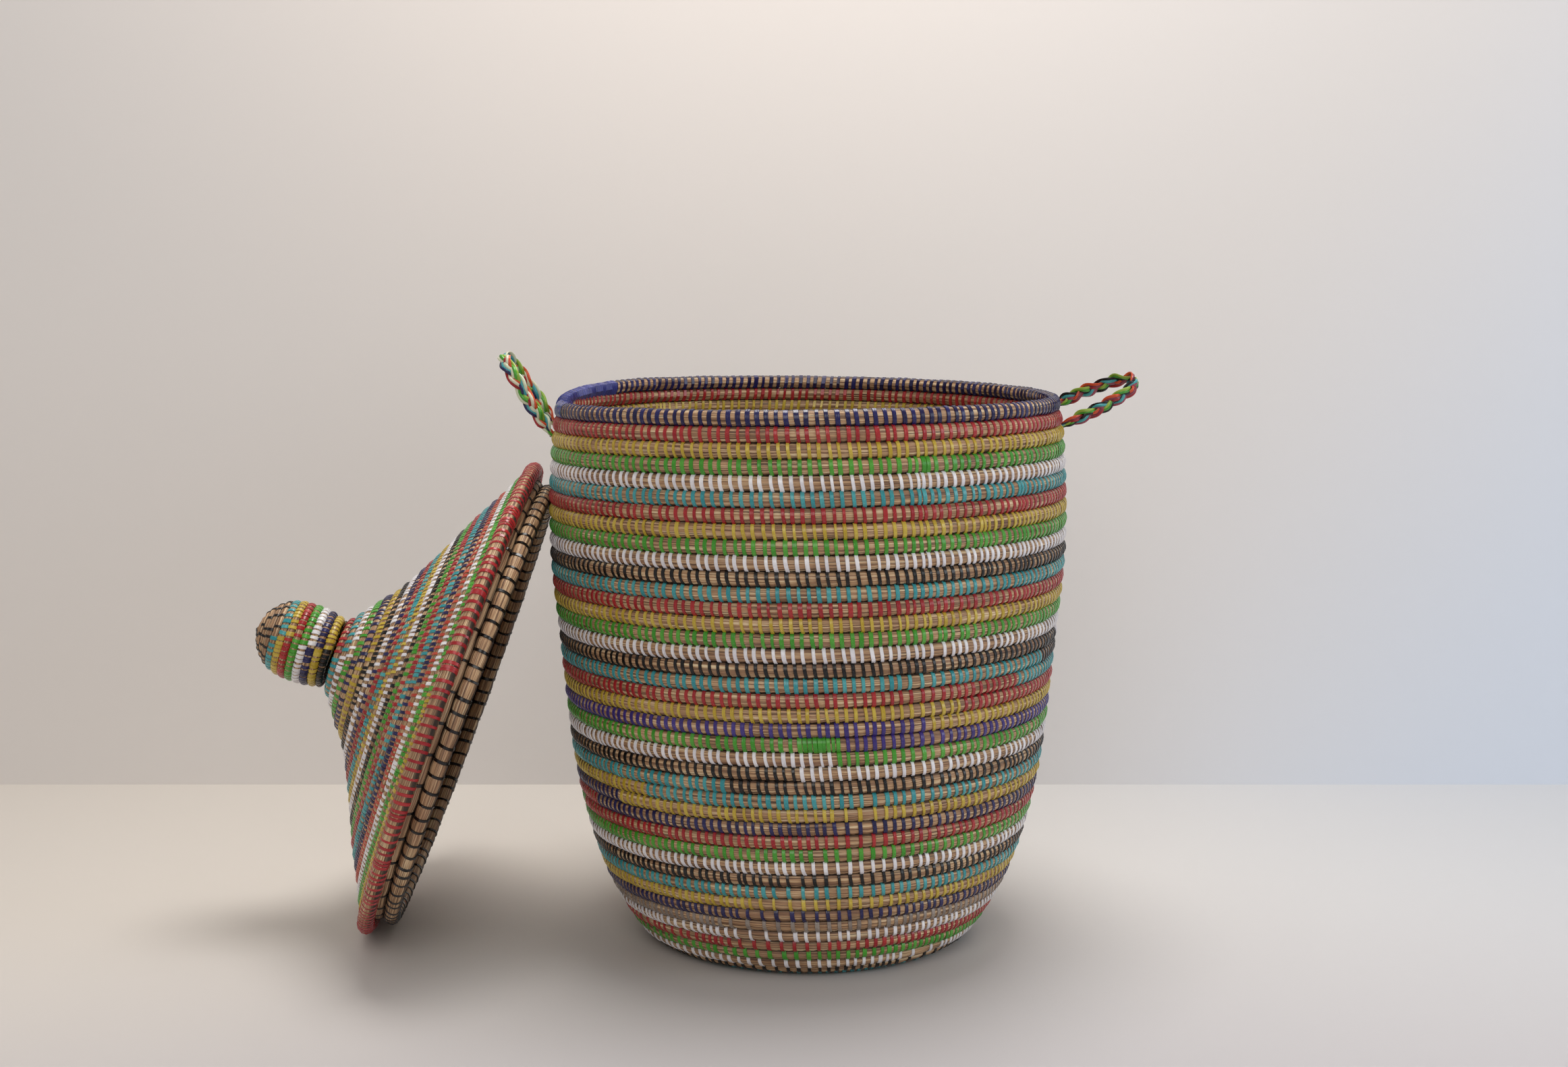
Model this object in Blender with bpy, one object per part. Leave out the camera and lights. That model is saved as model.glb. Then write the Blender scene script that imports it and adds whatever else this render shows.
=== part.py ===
"""Lidded coiled basket: straw coils bound with coloured strips, two plaited loops and a lid.

Metres, +Z up. The origin is the middle of the flat base, on the floor. X runs through the
two plaited loops. The lid is off, and leans against the side of the basket at -X.
"""

import math

import bmesh
import bpy
from mathutils import Vector
from mathutils.bvhtree import BVHTree

# Clearance between pieces that touch
seam_gap = 0.0003
floor_gap = 0.0003
lean_gap = 0.0008

# Basket wall: one coil that winds down from the rim, a new colour about every turn
basket_height = 0.4428
belly_radius = 0.2064
wall_coil_radius = 0.0056
wall_seam_half = 0.0032
wall_inner_half = 0.0045
steps_per_turn = 28
steps_per_colour = 29
first_colour_steps = 28
pitch_ease_share = 0.058
coil_end_steps = 14
rim_taper_turns = 0.13
rim_tip_share = 0.3

# Outer line of the wall from the rim to the edge of the flat base: (radius, height)
wall_line_shares = [
    (0.9617, 1.0),
    (0.9695, 0.9729),
    (0.9874, 0.905),
    (0.9995, 0.7919),
    (0.9937, 0.6787),
    (0.9685, 0.5656),
    (0.9443, 0.4525),
    (0.9162, 0.3394),
    (0.8658, 0.2262),
    (0.8028, 0.1357),
    (0.7301, 0.0679),
    (0.6715, 0.0271),
    (0.6444, 0.0145),
    (0.6100, 0.0038),
    (0.5901, 0.00095),
    (0.5693, 0.0),
    (0.5392, 0.0),
]

wall_colours = [
    "blue", "red", "yellow", "green", "white", "turquoise", "red", "yellow", "green", "white",
    "black", "turquoise", "red", "yellow", "green", "white", "black", "turquoise", "red",
    "yellow", "purple", "green", "white", "black", "turquoise", "yellow", "navy", "red",
    "green", "white", "black", "turquoise", "yellow", "navy", "grey", "white", "red", "green",
    "white", "black", "turquoise",
]

# Plaited loops
loop_strand_radius = 0.006
loop_half_width = 0.019
loop_length = 0.0625
loop_row = 2
left_loop_lift = math.radians(58)
right_loop_lift = math.radians(27)
left_loop_roll = math.radians(-12)
right_loop_roll = math.radians(23)
loop_sides = 8
loop_bend_steps = 10
loop_cap_steps = 2
loop_cap_share = 0.35

# Lid: its own axis runs from the middle of the rim up through the knob. The plug fits in
# the basket's mouth, and the cone's edge stands out beyond the plug.
lid_lean = math.radians(20.3)
lid_turn = math.radians(-1.4)
lid_way_back = 0.031
lid_rim_coil_radius = 0.0066
plug_clearance = 0.0005
plug_coil_radius = 0.006
plug_upper_coil_radius = 0.0056
cone_overhang = 0.0031
cone_height = 0.1
cone_coil_radius = 0.0048
cone_seam_half = 0.0028
cone_inner_half = 0.0038
cone_rows = 20
cone_lengths = 10
cone_steps_per_turn = 20
cone_start_share = 0.3
ring_steps = 20
ring_sides = 8

# Outer line of the lid's cone from the neck under the knob to the rim: (way from the knob's
# foot out to the cone's edge, height)
cone_line_shares = [
    (0.0, 1.0),
    (0.0174, 0.965),
    (0.0502, 0.92),
    (0.0998, 0.86),
    (0.168, 0.78),
    (0.2325, 0.69),
    (0.3757, 0.56),
    (0.5586, 0.415),
    (0.7179, 0.295),
    (0.8543, 0.175),
    (1.0, 0.063),
]
cone_colours = [
    "turquoise", "green", "yellow", "white", "red", "yellow", "black", "red", "navy", "green",
]

# Knob of the lid, above the neck: (radius, height)
knob_height = 0.066
knob_radius = 0.0333
knob_rows = 10
knob_sides = 16
knob_groove_depth = 0.0014
knob_line_shares = [
    (0.892, 0.0),
    (0.93, 0.1),
    (0.985, 0.24),
    (1.0, 0.4),
    (0.965, 0.59),
    (0.82, 0.76),
    (0.55, 0.9),
    (0.2, 0.985),
]

# How finely lines, edges and seats are worked out
line_samples = 16
edge_cuts = 8
seat_tries = 4
smooth_angle = math.radians(50)

colours = {
    "blue": (0.045, 0.10, 0.46),
    "navy": (0.03, 0.05, 0.22),
    "purple": (0.10, 0.07, 0.38),
    "red": (0.55, 0.035, 0.03),
    "yellow": (0.78, 0.52, 0.07),
    "green": (0.02, 0.22, 0.07),
    "white": (0.80, 0.78, 0.72),
    "turquoise": (0.03, 0.42, 0.46),
    "black": (0.015, 0.015, 0.02),
    "grey": (0.42, 0.40, 0.38),
    "straw": (0.50, 0.33, 0.15),
}
strip_roughness = 0.4
straw_roughness = 0.75


class Line:
    """A smooth outer line, read by the distance run along it from its first point. Its way
    out is taken over a stretch of reach to each side, so that it turns evenly in tight bends."""

    def __init__(self, points, reach):
        self.reach = reach
        ends = [points[0] * 2 - points[1]] + points + [points[-1] * 2 - points[-2]]
        self.points = []
        for i in range(len(points) - 1):
            for j in range(line_samples):
                self.points.append(blend(ends[i : i + 4], j / line_samples))
        self.points.append(points[-1])
        self.runs = [0.0]
        for first, second in zip(self.points, self.points[1:]):
            self.runs.append(self.runs[-1] + (second - first).length)
        self.length = self.runs[-1]

    def point(self, run):
        """The point at this distance."""
        run = min(max(run, 0.0), self.length)
        i = 0
        while i < len(self.runs) - 2 and self.runs[i + 1] < run:
            i += 1
        share = (run - self.runs[i]) / (self.runs[i + 1] - self.runs[i])
        return self.points[i].lerp(self.points[i + 1], share)

    def at(self, run):
        """The point at this distance, and the way out of the surface there."""
        run = min(max(run, 0.0), self.length)
        along = self.point(run + self.reach) - self.point(run - self.reach)
        return self.point(run), Vector((-along.y, along.x)).normalized()


def blend(four, share):
    """Catmull-Rom blend between the two middle points of four, kept at or above the floor."""
    a, b, c, d = four
    point = b * 2
    point = point + (c - a) * share
    point = point + (a * 2 - b * 5 + c * 4 - d) * share**2
    point = point + (b * 3 - a - c * 3 + d) * share**3
    point = point / 2
    return Vector((point.x, max(point.y, 0.0)))


def scaled(shares, radius, height, start=0.0):
    """Points of a line between two radii, from shares of the way out and of the height."""
    return [Vector((start + (radius - start) * r, height * z)) for r, z in shares]


def around(point, angle):
    """Turns a (radius, height) point to its place at this angle round the axis."""
    return Vector((point.x * math.cos(angle), point.x * math.sin(angle), point.y))


def clear_scene():
    for obj in list(bpy.data.objects):
        bpy.data.objects.remove(obj, do_unlink=True)


def make_material(name, colour, roughness):
    material = bpy.data.materials.new(name)
    material.use_nodes = True
    surface = material.node_tree.nodes["Principled BSDF"]
    surface.inputs["Base Color"].default_value = (*colour, 1.0)
    surface.inputs["Roughness"].default_value = roughness
    surface.inputs["Metallic"].default_value = 0.0
    return material


def make_object(name, corners, faces, colour, roughness=strip_roughness):
    mesh = bpy.data.meshes.new(name)
    mesh.from_pydata([tuple(corner) for corner in corners], [], faces)
    shape = bmesh.new()
    shape.from_mesh(mesh)
    bmesh.ops.recalc_face_normals(shape, faces=shape.faces)
    shape.to_mesh(mesh)
    shape.free()
    mesh.shade_smooth()
    mesh.set_sharp_from_angle(angle=smooth_angle)
    mesh.materials.append(make_material(name, colours[colour], roughness))
    obj = bpy.data.objects.new(name, mesh)
    bpy.context.scene.collection.objects.link(obj)
    return obj


def strip_faces(rings, sides, closed):
    """Four-sided faces between neighbouring rings, and a cap at each end unless it is closed."""
    faces = []
    for i in range(rings if closed else rings - 1):
        after = (i + 1) % rings
        for j in range(sides):
            k = (j + 1) % sides
            faces.append(
                (i * sides + j, i * sides + k, after * sides + k, after * sides + j)
            )
    if not closed:
        faces.append(tuple(range(sides)))
        faces.append(tuple((rings - 1) * sides + j for j in range(sides)))
    return faces


def coil_section(line, top, bottom, radius, seam_half, inner_half, fullness=1.0):
    """Corners of the coil's section between two distances along the line: an outer crest,
    a flat seam to each neighbour, and the inner face."""
    top_point, top_out = line.at(top)
    middle_point, middle_out = line.at((top + bottom) / 2)
    bottom_point, bottom_out = line.at(bottom)
    outer = radius - seam_half * fullness
    inner = radius + inner_half * fullness
    return [
        middle_point - middle_out * (radius - radius * fullness),
        bottom_point - bottom_out * outer,
        bottom_point - bottom_out * inner,
        top_point - top_out * inner,
        top_point - top_out * outer,
    ]


def wall_run(turn):
    """How far down the wall's line the upper edge of the coil lies after this many turns."""
    share = turn / (wall_turns + 1)
    return wall_line.length * share * (1 + pitch_ease_share * (1 - share))


def wall_section(turn):
    top, bottom = wall_run(turn), wall_run(turn + 1)
    fullness = min(1.0, rim_tip_share + (1 - rim_tip_share) * turn / rim_taper_turns)
    top = bottom - (bottom - top) * fullness
    return coil_section(
        wall_line,
        top + seam_gap / 2,
        bottom - seam_gap / 2,
        wall_coil_radius,
        wall_seam_half,
        wall_inner_half,
        fullness,
    )


def coil_corners(steps, per_turn, first_angle, section):
    """Rings of corners along a coil, its two ends drawn back from the next length."""
    corners = []
    for step in steps:
        turn = step / per_turn
        if step in (steps[0], steps[-1]):
            back = seam_gap / 2 / (math.tau * section(turn)[0].x)
            turn += back if step == steps[0] else -back
        angle = first_angle - math.tau * turn
        corners += [around(point, angle) for point in section(turn)]
    return corners


def make_wall():
    first = 0
    for number, colour in enumerate(wall_colours, 1):
        last = first + (steps_per_colour if first else first_colour_steps)
        steps = list(range(first, last + 1))
        corners = coil_corners(steps, steps_per_turn, coil_end_angle, wall_section)
        faces = strip_faces(len(steps), len(corners) // len(steps), False)
        make_object(f"wall_row_{number:02d}_{colour}", corners, faces, colour)
        first = last


def make_base():
    """The flat base, whose edge winds in by one row where the last length of coil ends."""
    side = []
    last = round(wall_turns * steps_per_turn)
    for step in range(last - steps_per_turn, last + 1):
        turn = step / steps_per_turn
        point, out = wall_line.at(wall_run(turn + 1) + seam_gap / 2)
        if step == last - steps_per_turn:
            turn += seam_gap / (math.tau * point.x)
        angle = coil_end_angle - math.tau * turn
        upper = point - out * (wall_coil_radius + wall_inner_half)
        edge = point - out * (wall_coil_radius - wall_seam_half)
        foot = Vector((edge.x - edge.y, 0.0))
        side.append([around(at, angle) for at in (upper, edge, foot)])
    corners = [corner for ring in side for corner in ring]
    count = len(side)
    faces = []
    for i in range(count):
        k = (i + 1) % count
        for j in range(2):
            faces.append((i * 3 + j, i * 3 + j + 1, k * 3 + j + 1, k * 3 + j))
    faces.append(tuple(i * 3 for i in range(count)))
    faces.append(tuple(i * 3 + 2 for i in range(count)))
    make_object("base_disc", corners, faces, "straw", straw_roughness)


def loop_path():
    """Points of one loop's centre line, (out from the hinge line, along it), and its girth."""
    path = []
    for i in range(loop_cap_steps):
        rise = math.pi / 2 * (1 - (i + loop_cap_share) / loop_cap_steps)
        path.append((-math.sin(rise), -loop_half_width, math.cos(rise)))
    path = [(x * loop_strand_radius, y, girth) for x, y, girth in path]
    path.append((0.0, -loop_half_width, 1.0))
    bend = loop_length - loop_half_width
    for i in range(loop_bend_steps + 1):
        turn = math.pi * i / loop_bend_steps
        path.append(
            (
                bend + loop_half_width * math.sin(turn),
                -loop_half_width * math.cos(turn),
                1.0,
            )
        )
    return path + [(x, -y, girth) for x, y, girth in reversed(path[: loop_cap_steps + 1])]


def make_loop(name, colour):
    path = loop_path()
    corners = []
    for i, (x, y, girth) in enumerate(path):
        before = path[max(i - 1, 0)]
        after = path[min(i + 1, len(path) - 1)]
        along = Vector((after[0] - before[0], after[1] - before[1], 0.0)).normalized()
        across = Vector((-along.y, along.x, 0.0))
        for j in range(loop_sides):
            turn = math.tau * (j + 0.5) / loop_sides
            reach = across * math.cos(turn) + Vector((0.0, 0.0, math.sin(turn)))
            corners.append(Vector((x, y, 0.0)) + reach * loop_strand_radius * girth)
    faces = strip_faces(len(path), loop_sides, False)
    return make_object(name, corners, faces, colour)


def solid_tree(names):
    """A search tree over the world-space faces of the named objects."""
    bpy.context.view_layer.update()
    corners, faces = [], []
    for name in names:
        obj = bpy.data.objects[name]
        start = len(corners)
        corners += [obj.matrix_world @ vertex.co for vertex in obj.data.vertices]
        faces += [[start + i for i in face.vertices] for face in obj.data.polygons]
    return BVHTree.FromPolygons(corners, faces)


def place_loop(loop, side, lift, roll, angle_turns, wall_tree):
    """Hangs a loop on the wall: its hinge line is at the height of its row, and runs along Y,
    tilted by its roll."""
    turn = loop_row - 1 + angle_turns
    row_middle = wall_line.at((wall_run(turn) + wall_run(turn + 1)) / 2)[0]
    hinge_x = row_middle.x + loop_strand_radius
    seat = loop_strand_radius + seam_gap
    for _ in range(seat_tries):
        ends = [
            Vector((side * hinge_x, side * y * math.cos(roll), row_middle.y + y * math.sin(roll)))
            for y in (-loop_half_width, loop_half_width)
        ]
        hinge_x += seat - min(wall_tree.find_nearest(end)[3] for end in ends)
    hinge = bpy.data.objects.new(loop.name + "_hinge", None)
    bpy.context.scene.collection.objects.link(hinge)
    hinge.location = (side * hinge_x, 0.0, row_middle.y)
    hinge.rotation_euler = (roll, 0.0, 0.0 if side > 0 else math.pi)
    loop.parent = hinge
    loop.rotation_euler.y = -lift
    print(f"{hinge.name} {side * hinge_x:.5f} 0 {row_middle.y:.5f}")


def cone_run(turn):
    return cone_line.length * turn / cone_rows


def cone_section(turn):
    """A row of the lid's cone. The first and last turns narrow against the knob and rim."""
    top = max(cone_run(turn), 0.0)
    bottom = min(cone_run(turn + 1), cone_line.length)
    return coil_section(
        cone_line,
        top + seam_gap / 2,
        bottom - seam_gap / 2,
        cone_coil_radius,
        cone_seam_half,
        cone_inner_half,
    )


def make_cone(lid):
    margin = round((1 - cone_start_share) * cone_steps_per_turn)
    first, last = -margin, (cone_rows - 1) * cone_steps_per_turn + margin
    cuts = [first + round((last - first) * i / cone_lengths) for i in range(cone_lengths + 1)]
    for number, colour in enumerate(cone_colours, 1):
        steps = list(range(cuts[number - 1], cuts[number] + 1))
        corners = coil_corners(steps, cone_steps_per_turn, 0.0, cone_section)
        faces = strip_faces(len(steps), len(corners) // len(steps), False)
        name = f"lid_cone_coil_{number:02d}_{colour}"
        make_object(name, corners, faces, colour).parent = lid


def make_ring(name, centre, radius, facing, colour, lid, roughness=strip_roughness):
    """A closed coil of the lid, round its axis, with one corner of its section facing this way."""
    first = math.atan2(facing.y, facing.x)
    corners = []
    for i in range(ring_steps):
        for j in range(ring_sides):
            turn = first + math.tau * j / ring_sides
            reach = Vector((math.cos(turn), math.sin(turn))) * radius
            corners.append(around(centre + reach, math.tau * i / ring_steps))
    faces = strip_faces(ring_steps, ring_sides, True)
    make_object(name, corners, faces, colour, roughness).parent = lid


def make_lid_rings(lid):
    """The rim coil, which lies against the last row of the cone, and the plug's two coils
    under it."""
    point, out = cone_line.at(cone_line.length)
    onward = Vector((out.y, -out.x))
    middle = point - out * cone_coil_radius + onward * (seam_gap + lid_rim_coil_radius)
    make_ring("lid_rim_coil", middle, lid_rim_coil_radius, -onward, "red", lid)
    under = point - out * (cone_coil_radius + cone_inner_half)
    middle = Vector((plug_radius - plug_coil_radius, 0.0))
    middle.y = under.y - (seam_gap + plug_upper_coil_radius) / out.y
    middle.y -= (middle.x - under.x) * out.x / out.y
    rough = straw_roughness
    make_ring("lid_plug_coil_upper", middle, plug_upper_coil_radius, out, "straw", lid, rough)
    middle.y -= plug_upper_coil_radius + seam_gap + plug_coil_radius
    up = Vector((0.0, 1.0))
    make_ring("lid_plug_coil_lower", middle, plug_coil_radius, up, "straw", lid, rough)


def make_knob(lid):
    """The ribbed knob, which stands on the first row of the cone."""
    top, out = cone_line.at(0.0)
    seat = max(
        (top - out * depth).y
        for depth in (
            cone_coil_radius - cone_seam_half,
            cone_coil_radius + cone_inner_half,
        )
    )
    line = Line(scaled(knob_line_shares, knob_radius, knob_height), cone_coil_radius)
    start = seat + seam_gap
    stretch = (cone_height + knob_height - start) / knob_height
    rings = [Vector((line.at(0.0)[0].x - knob_groove_depth, start))]
    for row in range(knob_rows):
        crest, _ = line.at(line.length * (row + 0.5) / knob_rows)
        groove, _ = line.at(line.length * (row + 1) / knob_rows)
        for point, depth in ((crest, 0.0), (groove, knob_groove_depth)):
            rings.append(Vector((point.x - depth, start + point.y * stretch)))
    corners = []
    for ring in rings:
        corners += [around(ring, math.tau * i / knob_sides) for i in range(knob_sides)]
    make_object("lid_knob", corners, strip_faces(len(rings), knob_sides, False), "blue").parent = lid


def edge_points(names):
    """World-space points spread along the edges of the named objects."""
    points = []
    for name in names:
        obj = bpy.data.objects[name]
        corners = [obj.matrix_world @ vertex.co for vertex in obj.data.vertices]
        for edge in obj.data.edges:
            first, second = (corners[i] for i in edge.vertices)
            points += [first.lerp(second, i / edge_cuts) for i in range(edge_cuts)]
    return points


def way_along(points, tree, toward):
    """The least distance from any of the points to the solids, in one direction."""
    hits = [tree.ray_cast(point, toward)[3] for point in points]
    return min((hit for hit in hits if hit is not None), default=math.inf)


def lean_lid(lid, still_names):
    """Stands the lid on the floor and moves it up to the wall and the loop beside it, until
    it nearly touches one of them."""
    lid_names = [child.name for child in lid.children]
    lid.rotation_euler = (0.0, lid_lean - math.pi / 2, lid_turn)
    lid.location.x = -belly_radius - loop_length - basket_height
    lid.location.y = lid_way_back
    bpy.context.view_layer.update()
    lid.location.z = floor_gap - min(point.z for point in edge_points(lid_names))
    toward = Vector((1.0, 0.0, 0.0))
    way = min(
        way_along(edge_points(lid_names), solid_tree(still_names), toward),
        way_along(edge_points(still_names), solid_tree(lid_names), -toward),
    )
    lid.location.x += way - lean_gap
    print(f"lid frame {lid.location.x:.5f} {lid.location.y:.5f} {lid.location.z:.5f}")


clear_scene()
coil_end_angle = math.tau * coil_end_steps / steps_per_turn
wall_line = Line(scaled(wall_line_shares, belly_radius, basket_height), wall_coil_radius)
mouth_radius = wall_line.points[0].x - wall_coil_radius - wall_inner_half
plug_radius = mouth_radius - plug_clearance
cone_reach = plug_radius + cone_overhang
knob_foot_radius = knob_radius * knob_line_shares[0][0]
cone_line = Line(
    scaled(cone_line_shares, cone_reach, cone_height, knob_foot_radius), cone_coil_radius
)
wall_turns = (
    first_colour_steps + steps_per_colour * (len(wall_colours) - 1)
) / steps_per_turn

make_wall()
make_base()
wall_names = [obj.name for obj in bpy.data.objects if obj.name.startswith("wall_row")]
wall_tree = solid_tree(wall_names)
coil_end_turn = coil_end_angle / math.tau
loop_left, loop_right = make_loop("loop_left", "red"), make_loop("loop_right", "navy")
place_loop(loop_left, -1, left_loop_lift, left_loop_roll, coil_end_turn + 0.5, wall_tree)
place_loop(loop_right, 1, right_loop_lift, right_loop_roll, coil_end_turn, wall_tree)

lid_frame = bpy.data.objects.new("lid_frame", None)
bpy.context.scene.collection.objects.link(lid_frame)
make_cone(lid_frame)
make_lid_rings(lid_frame)
make_knob(lid_frame)
lean_lid(lid_frame, wall_names + ["loop_left"])
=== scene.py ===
import math

import bpy
import numpy as np
from mathutils import Matrix


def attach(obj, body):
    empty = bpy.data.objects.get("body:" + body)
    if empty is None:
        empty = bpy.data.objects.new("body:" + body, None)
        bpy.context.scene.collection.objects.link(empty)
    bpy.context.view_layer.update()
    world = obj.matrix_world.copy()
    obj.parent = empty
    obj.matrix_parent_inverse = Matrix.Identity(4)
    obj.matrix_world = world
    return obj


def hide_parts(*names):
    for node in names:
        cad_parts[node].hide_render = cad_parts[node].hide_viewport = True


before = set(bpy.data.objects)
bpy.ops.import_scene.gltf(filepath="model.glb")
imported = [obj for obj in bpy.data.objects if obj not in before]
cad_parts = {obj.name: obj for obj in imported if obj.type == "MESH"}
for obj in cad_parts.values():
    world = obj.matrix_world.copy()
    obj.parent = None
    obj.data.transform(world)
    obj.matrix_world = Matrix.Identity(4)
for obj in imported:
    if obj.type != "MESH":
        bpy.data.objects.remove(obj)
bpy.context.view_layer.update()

tau = math.tau
chance = np.random.default_rng(11)
print("frame loaded:", len(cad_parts), "nodes")


class Value:
    # A socket that can be added, multiplied and so on, each sum being a Math node
    def __init__(self, finish, socket):
        self.finish, self.socket = finish, socket

    def maths(self, operation, first, second):
        return self.finish.node("Math", {"operation": operation}, {0: first, 1: second})

    def __add__(self, other):
        return self.maths("ADD", self, other)

    def __radd__(self, other):
        return self.maths("ADD", other, self)

    def __sub__(self, other):
        return self.maths("SUBTRACT", self, other)

    def __rsub__(self, other):
        return self.maths("SUBTRACT", other, self)

    def __mul__(self, other):
        return self.maths("MULTIPLY", self, other)

    def __rmul__(self, other):
        return self.maths("MULTIPLY", other, self)

    def step(self, low, high):
        # 0 below low, 1 above high, smooth between
        ends = {"From Min": low, "From Max": high}
        return self.finish.node(
            "MapRange", {"interpolation_type": "SMOOTHSTEP"}, {"Value": self, **ends}
        )


class Finish:
    # A material under construction
    def __init__(self, name, **sockets):
        self.material = bpy.data.materials.new(name)
        self.material.use_nodes = True
        self.tree = self.material.node_tree
        self.shader = self.tree.nodes["Principled BSDF"]
        self.fill(self.shader, sockets)

    def fill(self, made, values):
        for key, value in values.items():
            if isinstance(value, Value):
                self.tree.links.new(value.socket, made.inputs[key])
            else:
                made.inputs[key].default_value = value

    def node(self, kind, settings={}, values={}, output=0):
        made = self.tree.nodes.new("ShaderNode" + kind)
        for key, value in settings.items():
            if key == "stops":
                ramp = made.color_ramp.elements
                while len(ramp) < len(value):
                    ramp.new(0.5)
                for stop, (place, colour) in zip(ramp, value):
                    stop.position, stop.color = place, colour
            else:
                setattr(made, key, value)
        self.fill(made, values)
        return Value(self, made.outputs[output])

    def blend(self, share, first, second):
        return self.node("Mix", {"data_type": "RGBA"}, {0: share, 6: first, 7: second}, 2)

    def grain(self, scales, detail=2.0):
        # Noise on the piece's own map, which is in metres: so many lumps a metre along the
        # piece and across it
        spot = self.node("UVMap", {"uv_map": "grain"})
        size = self.node("VectorMath", {"operation": "MULTIPLY"}, {0: spot, 1: (*scales, 1)})
        return self.node("TexNoise", {}, {"Vector": size, "Scale": 1.0, "Detail": detail})

    def bump(self, height, strength, depth):
        values = {"Height": height, "Strength": strength, "Distance": depth}
        self.fill(self.shader, {"Normal": self.node("Bump", {}, values)})


def paint(red, green, blue):
    # Screen colour out of 255 as the light that a material reflects
    shares = [value / 255 for value in (red, green, blue)]
    return tuple(
        s / 12.92 if s < 0.04045 else ((s + 0.055) / 1.055) ** 2.4 for s in shares
    ) + (1.0,)


strawLook = {
    "dark": paint(84, 58, 40),
    "brown": paint(142, 106, 76),
    "tan": paint(182, 144, 106),
    "pale": paint(224, 202, 164),
    "stain": paint(120, 84, 70),
    # Painted shade where the rows meet
    "groove": paint(36, 24, 20),
    "roughness": 0.55,
    # Lumps a metre (along, across) of each pattern
    "fibres": (22, 1150),
    "streaks": (9, 430),
    "gaps": (13, 900),
    "patches": (5, 60),
    # From where to where a pattern shows, and how strongly
    "stained": (0.50, 0.68, 0.40),
    "lined": (0.58, 0.63, 0.80),
    # Painted shade where the rows meet: from where to where towards the section's top and bottom it
    # shows, and how dark
    "shaded": (0.66, 0.98, 0.95),
    "sunk": (0.56, 0.62, 0.30),
    "bump": (0.8, 0.0006),      # strength, and depth in metres
}
stripSurface = {
    "ridges": (90, 2600),
    "clouds": (220, 500),
    "roughness": (0.14, 0.24),  # least, and how much the clouds add
    "bump": (0.5, 0.0003),
}
stripLook = {
    # colour: (main, other shade, width in metres, slant over one row)
    "blue": (paint(14, 11, 60), paint(28, 28, 90), 0.0037, 0.0012),
    "lash": (paint(38, 44, 112), paint(60, 68, 146), 0.0030, 0.0006),
    "navy": (paint(26, 24, 66), paint(40, 38, 92), 0.0031, 0.0014),
    "purple": (paint(52, 38, 108), paint(68, 54, 134), 0.0033, 0.0010),
    "red": (paint(148, 26, 34), paint(176, 48, 48), 0.0031, 0.0009),
    "yellow": (paint(178, 150, 42), paint(204, 180, 76), 0.0029, 0.0012),
    "green": (paint(56, 140, 34), paint(88, 166, 58), 0.0034, 0.0010),
    "white": (paint(216, 213, 218), paint(240, 238, 240), 0.0030, 0.0015),
    "turquoise": (paint(42, 136, 144), paint(82, 166, 168), 0.0032, 0.0011),
    "black": (paint(6, 5, 6), paint(20, 17, 18), 0.0030, 0.0018),
    "grey": (paint(122, 110, 102), paint(152, 140, 130), 0.0033, 0.0012),
    "orange": (paint(198, 70, 34), paint(222, 102, 58), 0.0028, 0.0012),
    "lime": (paint(126, 164, 48), paint(168, 188, 86), 0.0028, 0.0012),
    "cream": (paint(214, 208, 182), paint(186, 208, 176), 0.0030, 0.0012),
    "maroon": (paint(116, 34, 54), paint(162, 74, 92), 0.0028, 0.0012),
    "rust": (paint(170, 58, 42), paint(194, 86, 62), 0.0028, 0.0012),
}


def strawFinish():
    # Fibres along the coil: light and dark straws, thin dark gaps, browner stretches, and
    # painted shade where the rows meet
    made = Finish("straw", Roughness=strawLook["roughness"])
    fibres, streaks = made.grain(strawLook["fibres"]), made.grain(strawLook["streaks"])
    gaps, patches = made.grain(strawLook["gaps"], 1.0), made.grain(strawLook["patches"])
    # Mask of the painted shade where the rows meet, 1 at the top and bottom of each section
    groove = made.node("Attribute", {"attribute_name": "tone"}, {}, 2)
    stops = [
        (0.34, strawLook["dark"]),
        (0.44, strawLook["brown"]),
        (0.52, strawLook["tan"]),
        (0.64, strawLook["pale"]),
    ]

    def shown(pattern, key):
        low, high, strength = strawLook[key]
        return pattern.step(low, high) * strength

    level = fibres * 0.6 + streaks * 0.4
    colour = made.node("ValToRGB", {"stops": stops}, {"Fac": level})
    stained = made.blend(shown(patches, "stained"), colour, strawLook["stain"])
    lined = made.blend(shown(gaps, "lined"), stained, strawLook["dark"])
    # Painted shade: darker towards the top and bottom of each row's section, where the rows meet
    shaded = made.blend(shown(groove, "shaded"), lined, strawLook["groove"])
    made.bump(level - shown(gaps, "sunk"), *strawLook["bump"])
    made.fill(made.shader, {"Base Color": shaded})
    return made.material


def stripFinish(colour):
    # Flat plastic strip: each one a shade of its own, finely ridged along its length
    main, other, _, _ = stripLook[colour]
    made = Finish("strip_" + colour)
    tone = made.node("Attribute", {"attribute_name": "tone"}, {}, 2)
    clouds = made.grain(stripSurface["clouds"])
    share = (tone * 0.6 + clouds * 0.8 - 0.3).step(0.0, 1.0)
    least, more = stripSurface["roughness"]
    shade = made.blend(share, main, other)
    made.bump(made.grain(stripSurface["ridges"]), *stripSurface["bump"])
    made.fill(made.shader, {"Base Color": shade, "Roughness": least + clouds * more})
    return made.material


straw = strawFinish()
strips = {colour: stripFinish(colour) for colour in stripLook}
sameSlot = {"lash": "blue", "lime": "green", "cream": "white"}
sameSlot.update({colour: "red" for colour in ("orange", "maroon", "rust")})
slots = {colour: "strip_" + sameSlot.get(colour, colour) for colour in stripLook}
print("materials made")


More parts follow.
